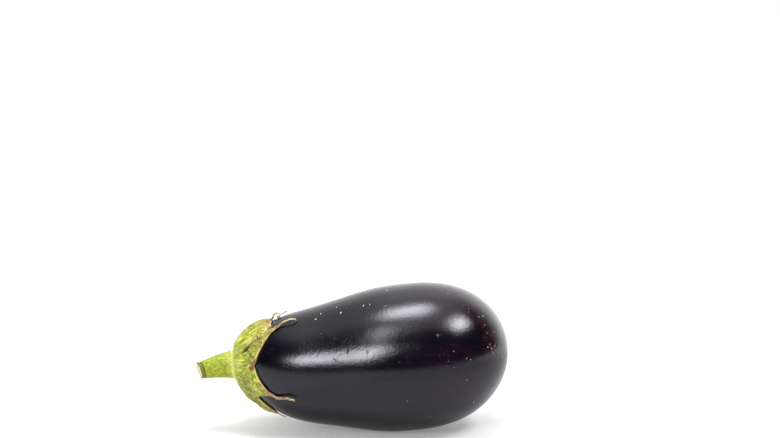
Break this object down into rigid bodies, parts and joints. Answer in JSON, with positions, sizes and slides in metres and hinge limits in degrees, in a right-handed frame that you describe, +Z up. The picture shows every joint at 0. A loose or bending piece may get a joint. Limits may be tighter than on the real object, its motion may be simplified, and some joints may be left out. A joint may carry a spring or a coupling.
{
  "type": "eggplant",
  "caption": "Whole glossy dark eggplant lying on its side, with a green calyx of pointed lobes with dry thread-like tips and a short cut stem.",
  "frame": {"origin": "middle of the small flat spot that the fruit rests on", "axes": "+X is level and runs from the stem end to the blossom end, +Z is up, and -Y is the side that the picture shows"},
  "size_m": [0.1884, 0.0884, 0.0895],
  "materials": {
    "skin": "gloss",
    "calyx": "satin",
    "stem": "satin"
  },
  "bodies": {
    "root": {"fruit": "skin", "calyx": "calyx", "stem": "stem"}
  },
  "joints": []
}
